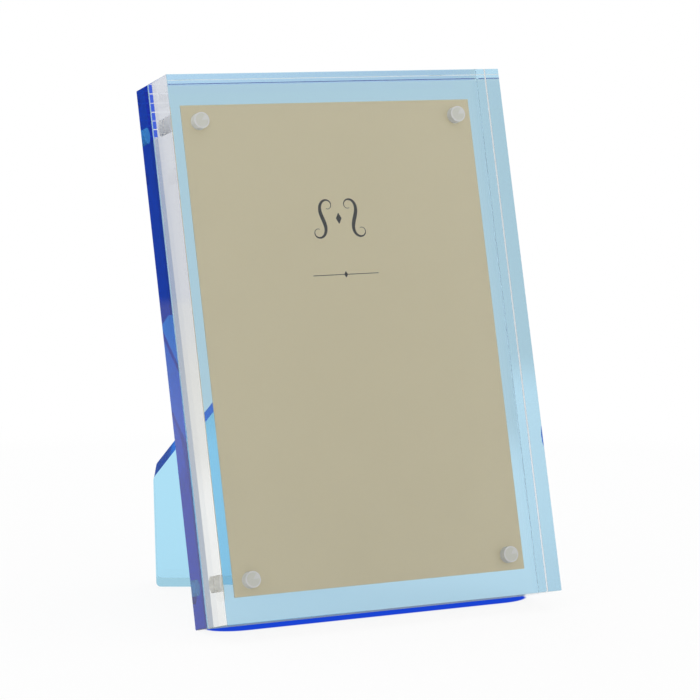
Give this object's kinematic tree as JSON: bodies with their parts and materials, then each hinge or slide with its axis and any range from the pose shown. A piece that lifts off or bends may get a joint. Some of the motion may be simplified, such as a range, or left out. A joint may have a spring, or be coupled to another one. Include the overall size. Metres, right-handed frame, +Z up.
{
  "type": "acrylic photo frame",
  "caption": "Clear and tinted acrylic blocks held together by magnets over a photo card, leaning on a slanted plate stand that works upright or on its side.",
  "frame": {"origin": "on the table, under the middle of the whole object", "axes": "+Z up, the frame's face looks towards -Y and leans back towards +Y, +X to the right of someone looking at the face"},
  "size_m": [0.1168, 0.1006, 0.1692],
  "materials": {
    "clear_acrylic": "polished",
    "blue_acrylic": "polished",
    "card": "matte",
    "nickel_plate": "satin"
  },
  "bodies": {
    "rear": {"rear_block": "blue_acrylic", "stand_plate": "blue_acrylic", "rear_magnet_top_left": "nickel_plate", "rear_magnet_top_right": "nickel_plate", "rear_magnet_bottom_left": "nickel_plate", "rear_magnet_bottom_right": "nickel_plate"},
    "front": {"front_block": "clear_acrylic", "front_magnet_top_left": "nickel_plate", "front_magnet_top_right": "nickel_plate", "front_magnet_bottom_left": "nickel_plate", "front_magnet_bottom_right": "nickel_plate"},
    "card": {"photo_card": "card"}
  },
  "joints": [
    {"name": "front_lift_off", "type": "slide", "parent": "rear", "child": "front", "axis": [0, -0.9681, 0.2504], "range_m": [0, 0.03]},
    {"name": "card_lift_off", "type": "slide", "parent": "rear", "child": "card", "axis": [0, -0.9681, 0.2504], "range_m": [0, 0.015]}
  ],
  "couplings": [
    {"joint": "card_lift_off", "follows": "front_lift_off", "ratio": 0.5}
  ]
}
